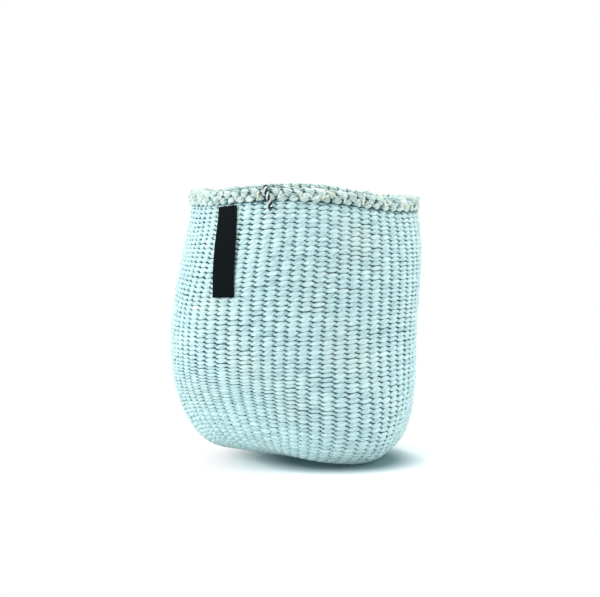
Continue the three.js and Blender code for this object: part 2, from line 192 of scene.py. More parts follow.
def ripples(seed):
    """A smooth unevenness over the wall, between about -1 and 1, that closes round the basket."""
    waves = np.random.default_rng(seed)
    turns = waves.integers(*RIPPLE_TURNS, RIPPLE_WAVES)
    rates = waves.uniform(-1, 1, RIPPLE_WAVES) * 2 * np.pi / RIPPLE_LENGTH
    starts = waves.uniform(0, 2 * np.pi, RIPPLE_WAVES)
    return lambda angle, run: sum(
        np.sin(turn * angle + rate * run + start) for turn, rate, start in zip(turns, rates, starts)
    ) / (RIPPLE_WAVES / 2)


sideways_ripple, height_ripple, dent_ripple, dye_ripple = ripples(3), ripples(5), ripples(8), ripples(13)


def on_wall(angle, run, out):
    """A point at a run up the wall and a way out from its middle, with the small unevenness of handwork."""
    soft = ease(run, *UNEVEN_FROM)
    below_rim = 1 - ease(run, TOP_RUN - HELD_AT_TOP, TOP_RUN)
    turned = angle + SIDEWAYS_SHARE * COLUMN_ANGLE * soft * sideways_ripple(angle, run)
    raised = run + HEIGHT_UNEVENNESS * soft * below_rim * height_ripple(angle, run)
    stage = stage_of(raised)
    pushed = out + DENT_DEPTH * soft * dent_ripple(angle, run)
    return wall_middle(turned, stage) + wall_normal(turned, stage) * np.asarray(pushed)[..., None]


def ring_turns(sides):
    """The angles of a ring's points about the middle of the yarn. At 0 a point faces out of the wall."""
    return 2 * np.pi * (np.arange(sides) + 0.5) / sides - np.pi / 2


def rings_along(path, outward, half_out, half_up, sides):
    """Oval rings round a path. Outward says which way is out of the wall at each point."""
    along = unit(np.gradient(path, axis=0))
    out = unit(outward - along * np.sum(along * outward, axis=1, keepdims=True))
    across = np.cross(along, out)
    turn = ring_turns(sides)
    half_out = np.broadcast_to(half_out, len(path))[:, None, None]
    half_up = np.broadcast_to(half_up, len(path))[:, None, None]
    return (
        path[:, None]
        + out[:, None] * half_out * np.cos(turn)[None, :, None]
        + across[:, None] * half_up * np.sin(turn)[None, :, None]
    )


def yarn_object(name, strands):
    """One mesh of closed yarns. A strand is given as its rings, its shade and its warmth. The shade and the
    warmth are one value for the whole strand, one for each ring, or one for each point of each ring."""
    points, loops, starts, uvs, shades, warmths = [], [], [], [], [], []
    first_point, first_loop = 0, 0
    for rings, shade, warmth in strands:
        count, sides = rings.shape[:2]
        ring_steps = np.linalg.norm(np.diff(rings.mean(1), axis=0), axis=1)
        lengths = np.concatenate([[0], np.cumsum(ring_steps)]) * 1000
        ring, side = np.meshgrid(np.arange(count - 1), np.arange(sides), indexing="ij")
        here, beside = ring * sides + side, ring * sides + (side + 1) % sides
        quads = np.stack([here, beside, beside + sides, here + sides], -1).reshape(-1)
        caps = np.concatenate([np.arange(sides)[::-1], (count - 1) * sides + np.arange(sides)])
        near, far = lengths[ring], lengths[ring + 1]
        low, high = side / sides, (side + 1) / sides
        quad_uvs = np.stack([near, low, near, high, far, high, far, low], -1).reshape(-1, 2)
        cap_uvs = np.stack([np.repeat(lengths[[0, -1]], sides), np.zeros(2 * sides)], -1)
        points.append(rings.reshape(-1, 3))
        loops.append(first_point + np.concatenate([quads, caps]))
        quad_count = (count - 1) * sides
        quad_starts, last_cap = np.arange(quad_count + 1) * 4, quad_count * 4 + sides
        starts.append(first_loop + np.concatenate([quad_starts, [last_cap]]))
        uvs.append(np.concatenate([quad_uvs, cap_uvs]))
        for values, given in ((shades, shade), (warmths, warmth)):
            given = np.asarray(given, float)
            given = given if given.ndim == 2 else given.reshape(-1, 1)
            values.append(np.broadcast_to(given, (count, sides)).ravel())
        first_point += count * sides
        first_loop += quad_count * 4 + 2 * sides
    mesh = bpy.data.meshes.new(name)
    mesh.vertices.add(first_point)
    mesh.vertices.foreach_set("co", np.concatenate(points).astype(np.float32).ravel())
    mesh.loops.add(first_loop)
    mesh.loops.foreach_set("vertex_index", np.concatenate(loops).astype(np.int32))
    mesh.polygons.add(sum(len(start) for start in starts))
    mesh.polygons.foreach_set("loop_start", np.concatenate(starts).astype(np.int32))
    mesh.update(calc_edges=True)
    yarn_uv = mesh.uv_layers.new(name="along_yarn")
    yarn_uv.data.foreach_set("uv", np.concatenate(uvs).astype(np.float32).ravel())
    for attribute, values in (("shade", shades), ("warmth", warmths)):
        made = mesh.attributes.new(attribute, "FLOAT", "POINT")
        made.data.foreach_set("value", np.concatenate(values).astype(np.float32))
    mesh.shade_smooth()
    yarn = bpy.data.objects.new(name, mesh)
    bpy.context.collection.objects.link(yarn)
    return yarn


def linear(hex_colour):
    """An sRGB hex colour as the linear one that a socket holds."""
    shares = [int(hex_colour[place : place + 2], 16) / 255 for place in (1, 3, 5)]
    return (*[s / 12.92 if s <= 0.04045 else ((s + 0.055) / 1.055) ** 2.4 for s in shares], 1)


def node(tree, kind, inputs=(), **settings):
    """Adds a node. An input is a value or another node's output."""
    made = tree.nodes.new(kind)
    for name, value in settings.items():
        setattr(made, name, value)
    for key, value in dict(inputs).items():
        if isinstance(value, bpy.types.NodeSocket):
            tree.links.new(value, made.inputs[key])
        else:
            made.inputs[key].default_value = value
    return made


# Real fibres are finer than a tenth of a millimetre and would not show, so they are drawn several times as
# wide. A groove between plies gets painted shade up to its edge, and the tones lie along a ramp from the
# painted shade colour to light.
FIBRES_ACROSS_PLY, FIBRE_RELIEF, PLY_RELIEF = 5.0, 0.7, 0.0003
GROOVE_EDGE = 0.6
DEEP_TONE, BODY_TONE, LIGHT_TONE = 0.18, 0.5, 0.85


def spun_yarn(name, body, light, deep, painted_shade_colour, warm, plies, twist_mm, fibre_mm, groove_shade, roughness, sheen):
    """Spun yarn: plies laid round each other, with fine fibres that follow the twist. The shade and warmth of
    its mesh colour it from place to place, and the shade holds painted shade as well as the yarn's own tone.
    Its painted_shade_colour is the painted shade down in a gap, and groove_shade is the painted shade between
    its plies."""
    material = bpy.data.materials.new(name)
    material.use_nodes = True
    tree = material.node_tree
    shader = tree.nodes["Principled BSDF"]
    shader.inputs["Roughness"].default_value = roughness
    shader.inputs["Sheen Weight"].default_value = sheen
    shader.inputs["Sheen Roughness"].default_value = 0.5
    shader.inputs["Specular IOR Level"].default_value = 0.3
    along = node(tree, "ShaderNodeUVMap", uv_map="along_yarn")
    place = node(tree, "ShaderNodeSeparateXYZ", {0: along.outputs[0]})
    turned = node(tree, "ShaderNodeMath", {0: place.outputs[0], 1: 1 / twist_mm}, operation="MULTIPLY")
    plied = node(
        tree,
        "ShaderNodeMath",
        {0: place.outputs[1], 1: float(plies), 2: turned.outputs[0]},
        operation="MULTIPLY_ADD",
    )
    half_turn = node(tree, "ShaderNodeMath", {0: plied.outputs[0], 1: math.pi}, operation="MULTIPLY")
    wave = node(tree, "ShaderNodeMath", {0: half_turn.outputs[0]}, operation="SINE")
    ply = node(tree, "ShaderNodeMath", {0: wave.outputs[0]}, operation="ABSOLUTE")
    lengthways = node(tree, "ShaderNodeMath", {0: place.outputs[0], 1: 1 / fibre_mm}, operation="MULTIPLY")
    crossways = node(
        tree, "ShaderNodeMath", {0: plied.outputs[0], 1: FIBRES_ACROSS_PLY}, operation="MULTIPLY"
    )
    fibre_place = node(tree, "ShaderNodeCombineXYZ", {0: lengthways.outputs[0], 1: crossways.outputs[0]})
    fibres = node(
        tree,
        "ShaderNodeTexNoise",
        {"Vector": fibre_place.outputs[0], "Scale": 1.0, "Detail": 3.0, "Roughness": 0.6},
    )
    shade = node(tree, "ShaderNodeAttribute", attribute_name="shade")
    warmth = node(tree, "ShaderNodeAttribute", attribute_name="warmth")
    shade_share = node(
        tree,
        "ShaderNodeMapRange",
        {"Value": shade.outputs["Fac"], "From Min": -1.0, "From Max": 1.0},
        clamp=False,
    )
    fibre_share = node(
        tree, "ShaderNodeMapRange", {"Value": fibres.outputs["Fac"], "From Min": 0.3, "From Max": 0.7}
    )
    tone = node(
        tree, "ShaderNodeMath", {0: shade_share.outputs[0], 1: fibre_share.outputs[0]}, operation="ADD"
    )
    # Painted shade: the tone is lowered in the grooves between the plies.
    between = node(
        tree,
        "ShaderNodeMapRange",
        {"Value": ply.outputs[0], "From Min": 0.0, "From Max": GROOVE_EDGE, "To Min": -groove_shade, "To Max": 0.0},
    )
    tone = node(tree, "ShaderNodeMath", {0: tone.outputs[0], 1: between.outputs[0]}, operation="ADD")
    halved = node(tree, "ShaderNodeMath", {0: tone.outputs[0], 1: 0.5}, operation="MULTIPLY")
    ramp = node(tree, "ShaderNodeValToRGB", {"Fac": halved.outputs[0]})
    tones = ramp.color_ramp.elements
    tones[0].position, tones[0].color = 0.0, linear(painted_shade_colour)
    tones[1].position, tones[1].color = LIGHT_TONE, linear(light)
    tones.new(DEEP_TONE).color = linear(deep)
    tones.new(BODY_TONE).color = linear(body)
    mixed = node(
        tree,
        "ShaderNodeMix",
        {0: warmth.outputs["Fac"], 6: ramp.outputs["Color"], 7: linear(warm)},
        data_type="RGBA",
    )
    tree.links.new(mixed.outputs[2], shader.inputs["Base Color"])
    fibre_height = node(
        tree, "ShaderNodeMath", {0: fibres.outputs["Fac"], 1: FIBRE_RELIEF}, operation="MULTIPLY"
    )
    height = node(tree, "ShaderNodeMath", {0: ply.outputs[0], 1: fibre_height.outputs[0]}, operation="ADD")
    relief = node(
        tree, "ShaderNodeBump", {"Strength": 0.8, "Distance": PLY_RELIEF, "Height": height.outputs[0]}
    )
    tree.links.new(relief.outputs["Normal"], shader.inputs["Normal"])
    return material


# Soft dyed yarn of three plies. It is matt with a faint bloom, with painted shade in the grooves between its
# plies and down in the gaps, and the dye has taken a little warmer here and there.
aqua_yarn = spun_yarn(
    "aqua_spun_yarn",
    body="#c2dfe0",
    light="#e2f6f5",
    deep="#98bfc2",
    painted_shade_colour="#3e5f62",
    warm="#d3ddd2",
    plies=3,
    twist_mm=7.0,
    fibre_mm=2.5,
    groove_shade=0.4,
    roughness=0.78,
    sheen=0.15,
)

dice = np.random.default_rng(21)


def drift(places, most, spacing):
    """A value that wanders between about -most and most along a yarn, as its dye and its spinning do."""
    knots = dice.normal(0, 0.5, int(places.max() / spacing) + 3)
    return most * np.interp(places / spacing, np.arange(len(knots)), knots)


# The rows of the spiral, from the lashing in the middle of the base up to the rim. Their heights differ a
# little.
FIRST_COLUMN_ANGLE = math.radians(-91)
SPIRAL_START_COLUMN = 39
LASHING_RADIUS = 0.0277
ROW_PITCH, ROW_HEIGHT_SPREAD = 0.00305, 0.05
WEAVE_PAST_TOP = 0.0030
SPLIT_RUN = LASHING_RADIUS - ROW_PITCH / 2
WEAVE_TOP_RUN = TOP_RUN + WEAVE_PAST_TOP
ROWS = round((WEAVE_TOP_RUN - SPLIT_RUN) / ROW_PITCH)
row_heights = 1 + dice.normal(0, ROW_HEIGHT_SPREAD, ROWS)
row_rises = np.concatenate([[0], np.cumsum(row_heights)]) * (WEAVE_TOP_RUN - SPLIT_RUN) / row_heights.sum()
row_edges = SPLIT_RUN + row_rises
# The last round runs on almost to where it began, pressed up into the plait, so no light shows under the rim.
LAST_ROW_SHARE, ROUND_LEFT_OUT = 0.5, 0.1
row_edges = np.append(row_edges, WEAVE_TOP_RUN + LAST_ROW_SHARE * ROW_PITCH)

# Where the strands cross they are squeezed flat the other way, one above the other, and fill the wall.
STITCH_HALF_HEIGHT, CROSSING_HALF_HEIGHT = 0.00176, 0.00076
STITCH_HALF_DEPTH, CROSSING_HALF_DEPTH = 0.00095, 0.00150
CROSSING_RISE = 0.00045
# In the base the columns are narrow and the strands are packed tighter, so the crossings leave no gap.
BASE_CROSSING_GROWTH = 0.0008
BASE_PACKED_TO = (1.1 * FLAT_REACH, 1.7 * FLAT_REACH)
# How soon a strand is out at the face, and at its full height, after it has passed between two uprights.
STITCH_FULLNESS, STITCH_PLUMPNESS = 0.45, 0.85
# Where along a column the strand is sampled: closer together where it turns into the wall.
STITCH_SAMPLES = np.array([-0.5, -0.44, -0.35, -0.2, 0.0, 0.2, 0.35, 0.44])
YARN_SIDES = 8
# How much one stitch differs from the next: as a share of its thickness, outwards and upwards. Those of the
# base are pulled tighter and differ less.
THICKNESS_SPREAD, OUT_SPREAD, UP_SPREAD = 0.09, 0.00017, 0.00016
BASE_UNEVENNESS, STITCH_UNEVEN_FROM = 0.25, (FLAT_REACH, 1.6 * FLAT_REACH)
# The middle of the base is a low boss, over the crossed stakes.
BOSS_RISE, BOSS_RADIUS, BOSS_EDGE = 0.00115, 0.0135, 0.0207
STANDING_HEIGHT = 0.00005
# How light or dark a stitch is, and how much that and its warmth wander along a yarn, in columns.
STITCH_SHADE, STITCH_SHADE_SPREAD, STITCH_SHADE_DRIFT = 0.03, 0.2, (0.3, 23)
PATCH_WARMTH, WARMTH_DRIFT, WARMTH_MISSED, MOST_WARMTH = 0.35, (0.15, 12), 0.1, 0.2
# Where a yarn turns into the wall it lies in a small gap, and there it gets painted shade, on its upper and
# lower sides most of all. It also gets painted shade from a little above the wall's top edge, where the
# plait stands on it.
GAP_WIDTH, GAP_FACING, GAP_DARKNESS = (0.3, 0.7), (0.2, 0.95), 3.0
UNDER_PLAIT = (0.0020, 0.0032)


def twined_strand(edges, columns, first_angle, column_step, first, last, number):
    """One of the two strands, from one column of its spiral to another. Edges are the runs between rows."""
    column = (np.arange(first, last)[:, None] + STITCH_SAMPLES).reshape(-1)
    column = np.append(column, last - 0.5)
    phase = np.pi * (column + number)
    over = np.cos(phase)
    width = np.abs(over)
    stitch, stitches = np.round(column).astype(int) - first, last - first + 2
    turns = np.clip(column / columns, 0, len(edges) - 1)
    lower = np.interp(turns, np.arange(len(edges)), edges)
    upper = np.interp(turns + 1, np.arange(len(edges)), edges)
    middle = (lower + upper) / 2
    loose = BASE_UNEVENNESS + (1 - BASE_UNEVENNESS) * ease(lower, *STITCH_UNEVEN_FROM)
    fatter, further, higher = [
        spread * dice.normal(0, 1, stitches)[stitch] * width * loose
        for spread in (THICKNESS_SPREAD, OUT_SPREAD, UP_SPREAD)
    ]
    angle = first_angle + column_step * column
    row_height = np.linalg.norm(
        wall_middle(angle, stage_of(upper)) - wall_middle(angle, stage_of(lower)), axis=1
    )
    on_boss = 1 - ease(middle, BOSS_RADIUS, BOSS_EDGE)
    depth = CROSSING_HALF_DEPTH + (STITCH_HALF_DEPTH - CROSSING_HALF_DEPTH) * width
    crossing = CROSSING_HALF_HEIGHT + BASE_CROSSING_GROWTH * (1 - ease(lower, *BASE_PACKED_TO))
    height = crossing + (STITCH_HALF_HEIGHT - crossing) * width**STITCH_PLUMPNESS
    reach = WALL_HALF + BOSS_RISE * on_boss - depth
    out = reach * np.sign(over) * width**STITCH_FULLNESS + further
    run = middle + CROSSING_RISE * (upper - lower) / ROW_PITCH * np.sin(phase) + higher
    path = on_wall(angle, run, out)
    path[:, 2] += BOSS_RISE * on_boss
    outward = wall_normal(angle, stage_of(run))
    rings = rings_along(path, outward, depth, height * row_height / ROW_PITCH * (1 + fatter), YARN_SIDES)
    # The stitches that the basket stands on are pressed flat.
    rings[..., 2] = np.maximum(rings[..., 2], STANDING_HEIGHT)
    shade = STITCH_SHADE + dice.normal(0, STITCH_SHADE_SPREAD, stitches)[stitch]
    shade = shade + drift(column - first, *STITCH_SHADE_DRIFT)
    # Painted shade: a yarn is coloured dark in the gaps where it turns into the wall, and under the plait.
    facing = np.abs(np.cos(ring_turns(YARN_SIDES)))
    painted_shade_mask = (1 - ease(width, *GAP_WIDTH))[:, None] * (1 - ease(facing, *GAP_FACING))
    above_wall = rings[..., 2] - wall_middle(angle, TOP_STAGE)[:, 2:]
    painted_shade_mask = np.maximum(painted_shade_mask, ease(above_wall, *UNDER_PLAIT))
    warmth = PATCH_WARMTH * dye_ripple(angle, run) + drift(column - first, *WARMTH_DRIFT) - WARMTH_MISSED
    return rings, shade[:, None] - GAP_DARKNESS * painted_shade_mask, np.clip(warmth, 0, MOST_WARMTH)


def both_strands(*spiral):
    """The two strands that run side by side, one a half turn behind the other."""
    return [twined_strand(*spiral, number) for number in (0, 1)]


WEAVE_BANDS = ("weave_base", "weave_corner", "weave_belly", "weave_middle", "weave_shoulder", "weave_top")
band_turns = np.linspace(0, ROWS - ROUND_LEFT_OUT, len(WEAVE_BANDS) + 1)
band_columns = [int(column) for column in np.round(band_turns * UPRIGHTS)]
spiral_angle = FIRST_COLUMN_ANGLE + SPIRAL_START_COLUMN * COLUMN_ANGLE
for name, first, last in zip(WEAVE_BANDS, band_columns[:-1], band_columns[1:]):
    band = yarn_object(name, both_strands(row_edges, UPRIGHTS, spiral_angle, COLUMN_ANGLE, first, last))
    band.data.materials.append(aqua_yarn)
    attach(band, "basket")
    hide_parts("weft_outside", "weft_inside")


# The start of the base
# The first rounds of the same yarn lash the stakes where they cross, three uprights at a time, over a boss
# in the middle of the base. They are pulled tight, so the rounds lie close.

START_RADIUS = 0.0007
START_COLUMNS = UPRIGHTS // 3
START_ROWS = round((SPLIT_RUN - START_RADIUS) / ROW_PITCH)
start_end = SPLIT_RUN + (SPLIT_RUN - START_RADIUS) / START_ROWS
start_edges = np.linspace(START_RADIUS, start_end, START_ROWS + 2)
base_start = yarn_object(
    "base_start",
    both_strands(start_edges, START_COLUMNS, spiral_angle, 3 * COLUMN_ANGLE, 0, START_ROWS * START_COLUMNS),
)
base_start.data.materials.append(aqua_yarn)
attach(base_start, "basket")
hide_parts("start_lashing_under", "start_lashing_inside")


# The sisal stakes
# Cream sisal cord, hand-rolled from two plies, stiff enough to hold the wall up. Each stake is folded in two
# or crosses the base, and gives two uprights. Every second upright is bent over the rim to hold it down.

STAKE_RADIUS, STAKE_SIDES = 0.001, 6
PLY_RADIUS, PLY_OFFSET, PLY_TURN = 0.00048, 0.0004, 0.0042
LEG_POINTS, STAKE_SPACING, BEND_SPACING = 44, 0.0015, 0.0005
# A direction that no stake runs in, to set its rings by.
ASKEW = np.array([0.31, 0.52, 0.79])
# Eleven stakes cross in the middle of the base, in two layers. The others are folded in between them.
CROSS_STAKES_UNDER, CROSS_STAKES_OVER = 5, 6
CROSS_SPACING, CROSS_RISE, CROSS_MARGIN = 0.0026, 0.0023, 0.0003
FOLD_RADIUS, FOLD_LENGTH = 0.0245, 0.0035
FOLD_ACROSS, FOLD_INWARD = (0.0, 0.5, 1.0), (0.75, 1.0, 0.75)
# The plait that they hold is less tightly pulled at both ends of the mouth, so it is taller and wider there.
RIM_HEIGHT, RIM_HALF_DEPTH, RIM_INSET, RIM_ABOVE_WEAVE = 0.0094, 0.0040, 0.0015, 0.0025
RIM_END_FULLNESS, RIM_END_SPREAD = 0.24, math.radians(62)
# The way of a bent end, in radians about the middle of the plait: up its inner side, over its top, where it
# is sunk between the lobes, and down its face to where it is tucked under.
HOOK_START, HOOK_END, HOOK_STEPS = -2.5, -6.95, 26
SINKS_IN, COMES_OUT, TUCKS_UNDER = (2.9, 3.5), (5.5, 6.1), (6.6, 6.95)
SUNK_SHARE, TUCKED_SHARE = 0.5, 0.5
# Each is set by hand, a little to one side, slanting, and more or less tight.
HOOK_OFFSET_SPREAD, HOOK_SLANT_SPREAD = 0.008, 0.012
HOOK_GROWTH, HOOK_GROWTH_SPREAD = 0.0001, 0.0003
HOOK_SHADE, HOOK_SHADE_SPREAD, HOOK_DARKNESS = 0.3, 0.3, 3.3
HOOK_WARMTH, HOOK_WARMTH_SPREAD, HOOK_MOST_WARMTH = -0.1, 0.4, 0.5
# Over these shares of its length it comes out of the plait and goes back into it, and inside the plait it
# is given painted shade.
SEEN_FROM, SEEN_TO = (0.25, 0.45), (0.94, 1)
# The legs inside the wall are coloured wholly with painted shade, where they show between the stitches.
LEG_PAINTED_SHADE = -3.0

# Rolled sisal is dry and matt, with long coarse fibres, and painted shade lies in the grooves of its twist.
# It is pale cream, and some of it is yellower. Its painted shade colour is a dark grey-teal.
sisal = spun_yarn(
    "sisal_cord",
    body="#e8e7da",
    light="#f5f4ec",
    deep="#b9b8a6",
    painted_shade_colour="#5f7575",
    warm="#ebe0c8",
    plies=1,
    twist_mm=3.0,
    fibre_mm=3.5,
    groove_shade=0.3,
    roughness=0.7,
    sheen=0.1,
)


def column_angle(column):
    """The angle of an upright."""
    return FIRST_COLUMN_ANGLE + COLUMN_ANGLE * column


def rim_fullness(angle):
    """How many times as thick the plait is at an angle."""
    return 1 + RIM_END_FULLNESS * (bump(angle, 0, RIM_END_SPREAD) + bump(angle, np.pi, RIM_END_SPREAD))


def rim_place(angle):
    """The middle of the plait at an angle, and the level way out of it."""
    out = unit(wall_normal(angle, TOP_STAGE) * np.array([1.0, 1.0, 0.0]))
    middle = wall_middle(angle, TOP_STAGE) - RIM_INSET * out
    middle[..., 2] += RIM_ABOVE_WEAVE + RIM_HEIGHT / 2 * rim_fullness(angle)
    return middle, out


def smooth_path(points, spacing):
    """A smooth curve through points, with a point about every spacing."""
    points = np.asarray(points, float)
    padded = np.concatenate([[2 * points[0] - points[1]], points, [2 * points[-1] - points[-2]]])
    made = []
    for start in range(len(points) - 1):
        a, b, c, d = padded[start : start + 4]
        steps = max(1, round(np.linalg.norm(c - b) / spacing))
        t = (np.arange(steps) / steps)[:, None]
        made.append(
            0.5 * (2 * b + (c - a) * t + (2 * a - 5 * b + 4 * c - d) * t**2 + (3 * b - a - 3 * c + d) * t**3)
        )
    return np.concatenate([*made, points[-1:]])


def laid_plies(path, outward, radius, offset, turn, count, sides=6):
    """Plies that wind round a path, as rings."""
    along = unit(np.gradient(path, axis=0))
    out = unit(outward - along * np.sum(along * outward, axis=1, keepdims=True))
    across = np.cross(along, out)
    length = np.concatenate([[0], np.cumsum(np.linalg.norm(np.diff(path, axis=0), axis=1))])
    wound = []
    for ply in range(count):
        wind = (2 * np.pi * (length / turn + ply / count))[:, None]
        line = path + offset * (out * np.cos(wind) + across * np.sin(wind))
        wound.append(rings_along(line, out, radius, radius, sides))
    return wound


def round_rim(angle, turns, grow, tuck):
    """A way round the plait. Turns are radians about its middle, and it is drawn in where it is tucked."""
    middle, out = rim_place(angle)
    up = np.array([0, 0, 1.0])
    side = (RIM_HALF_DEPTH * rim_fullness(angle) + grow) * np.cos(turns) * (1 - tuck)
    lift = (RIM_HEIGHT / 2 * rim_fullness(angle) + grow) * np.sin(turns) * (1 - tuck)
    return middle + out * side[:, None] + up * lift[:, None]


def leg_points(column):
    """The way of an upright from the edge of the start to the top of the weave, inside the wall."""
    runs = np.linspace(FOLD_RADIUS + FOLD_LENGTH, TOP_RUN, LEG_POINTS)
    return on_wall(np.full(len(runs), column_angle(column)), runs, np.zeros(len(runs)))


def base_point(angle, radius):
    """A place in the flat of the base."""
    return wall_middle(angle, radius / FLAT_REACH)


def hooked_end(column, leg):
    """An upright's end, bent over the plait, as the two plies of its cord."""
    here = column_angle(column)
    turns = np.linspace(HOOK_START, HOOK_END, HOOK_STEPS)
    sunk = ease(-turns, *SINKS_IN) * (1 - ease(-turns, *COMES_OUT))
    tuck = SUNK_SHARE * sunk + TUCKED_SHARE * ease(-turns, *TUCKS_UNDER)
    aside = here + dice.normal(0, HOOK_OFFSET_SPREAD)
    aside = aside + dice.normal(0, HOOK_SLANT_SPREAD) * ease(-turns, COMES_OUT[0], -HOOK_END)
    hook = round_rim(aside, turns, dice.normal(HOOK_GROWTH, HOOK_GROWTH_SPREAD), tuck)
    bend = smooth_path(np.concatenate([leg[-3:], hook]), BEND_SPACING)
    reached = np.linspace(0, 1, len(bend))
    in_sight = ease(reached, *SEEN_FROM) * (1 - ease(reached, *SEEN_TO))
    # Painted shade: the end is coloured dark where it lies inside the plait.
    shade = dice.normal(HOOK_SHADE, HOOK_SHADE_SPREAD) - HOOK_DARKNESS * (1 - in_sight)
    warmth = np.clip(dice.normal(HOOK_WARMTH, HOOK_WARMTH_SPREAD), 0, HOOK_MOST_WARMTH) * in_sight
    plies = laid_plies(bend, bend - rim_place(here)[0], PLY_RADIUS, PLY_OFFSET, PLY_TURN, 2)
    return [(rings, shade, warmth) for rings in plies]


def sisal_stake(name, inner_points, first_column, second_column):
    """A stake as one cord from upright to upright, with its two plies laid where it is bent over the rim."""
    first_leg, second_leg = leg_points(first_column), leg_points(second_column)
    way_in = smooth_path([first_leg[0], *inner_points, second_leg[0]], STAKE_SPACING)[1:-1]
    path = np.concatenate([first_leg[::-1], way_in, second_leg])
    outward = np.cross(np.gradient(path, axis=0), ASKEW)
    strands = [(rings_along(path, outward, STAKE_RADIUS, STAKE_RADIUS, STAKE_SIDES), LEG_PAINTED_SHADE, 0.0)]
    for column, leg in ((first_column, first_leg), (second_column, second_leg)):
        if column % 2 == 0:
            strands += hooked_end(column, leg)
    stake = yarn_object(name + "_cord", strands)
    stake.data.materials.append(sisal)
    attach(stake, "basket")
    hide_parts(name)


stake_number = 0
cross_reach = (CROSS_STAKES_OVER - 1) / 2 * CROSS_SPACING + 2 * STAKE_RADIUS + CROSS_MARGIN
for stakes, column, rise in ((CROSS_STAKES_UNDER, 0, 0.0), (CROSS_STAKES_OVER, UPRIGHTS / 4, CROSS_RISE)):
    way = column_angle(column)
    along = np.array([math.cos(way), math.sin(way)])
    across = np.array([-math.sin(way), math.cos(way)])
    for order in range(stakes):
        place = order - (stakes - 1) / 2
        ends = (round(column + 3 * place), round(column + UPRIGHTS / 2 - 3 * place))
        inner = []
        for side, end in ((1, ends[0]), (-1, ends[1])):
            middle = along * side * cross_reach + across * place * CROSS_SPACING
            ray = [base_point(column_angle(end), BOSS_RADIUS), np.array([*middle, WALL_HALF + rise])]
            inner += ray if side > 0 else ray[::-1]
        stake_number += 1
        sisal_stake(f"warp_stake_{stake_number:02d}", inner, ends[0] % UPRIGHTS, ends[1] % UPRIGHTS)
for sector in range(UPRIGHTS // 3):
    column = 3 * sector + 1
    fold = [
        base_point(column_angle(column + across), FOLD_RADIUS + FOLD_LENGTH * (1 - inward))
        for across, inward in zip(FOLD_ACROSS, FOLD_INWARD)
    ]
    stake_number += 1
    sisal_stake(f"warp_stake_{stake_number:02d}", fold, column, column + 1)


# The plaited rim
# Three thick strands, each a bundle of six yarns in the same aqua, plaited flat round the mouth and pulled
# tight. The plait stands on the last row, and here and there a yarn of another pale shade runs with it.

PLAIT_TURNS, PLAIT_STEPS = UPRIGHTS // 3, 26
PLAIT_START = 1 / 16
PLAIT_SWING = 0.0026
STRAND_HALF_HEIGHT, STRAND_HALF_DEPTH = 0.0025, 0.0019
YARN_HALF_HEIGHT, YARN_HALF_DEPTH = 0.00112, 0.00105
TIE_TOP_ANGLE, TIE_FOOT_ANGLE = math.radians(-110.5), math.radians(-106.4)
# A strand swells on its way across the plait, and spreads flat where it turns over at the top or the bottom,
# so that it covers the others. Its outer yarns lie closer together than the two in its middle.
SWELL_ACROSS, MEAN_SWING, YARN_FLATTENING = 0.25, 0.55, 0.4
OUTER_YARN_CLOSENESS, SPREAD_WHEN_FLAT = 0.5, 0.9
# How much each thing wanders along a strand, and over how many steps.
SWING_DRIFT, LEAN_DRIFT, FULLNESS_DRIFT, ROLL_DRIFT = (0.08, 9), (0.12, 11), (0.14, 13), (0.5, 30)
ROW_DRIFT, LAYER_DRIFT, YARN_SWELL_DRIFT = (0.1, 10), (0.0002, 8), (0.13, 6)
YARN_SHADE_SPREAD, YARN_SHADE_DRIFT, YARN_WARMTH_DRIFT, YARN_WARMTH_MISSED = 0.4, (0.8, 9), (0.4, 9), 0.08
OTHER_SHADE_DRIFT, OTHER_SHADE_MISSED, MOST_OTHER_SHADE = (1.5, 13), 0.5, 0.65
# A yarn gets painted shade deep in the plait: fully dark below the first of these shares of its half
# thickness, and no longer dark at the second.
CREVICE_OUTNESS, CREVICE_DARKNESS = (0.62, 1.0), 3.4

# The yarn of the wall in bundles of thin plies: as matt, but with paler light tones, and painted shade
# between the plies.
rim_yarn = spun_yarn(
    "aqua_bundled_yarn",
    body="#d2e6e1",
    light="#f7fdfa",
    deep="#90b3b1",
    painted_shade_colour="#335053",
    warm="#dbe0c9",
    plies=6,
    twist_mm=9.0,
    fibre_mm=2.5,
    groove_shade=0.55,
    roughness=0.78,
    sheen=0.15,
)


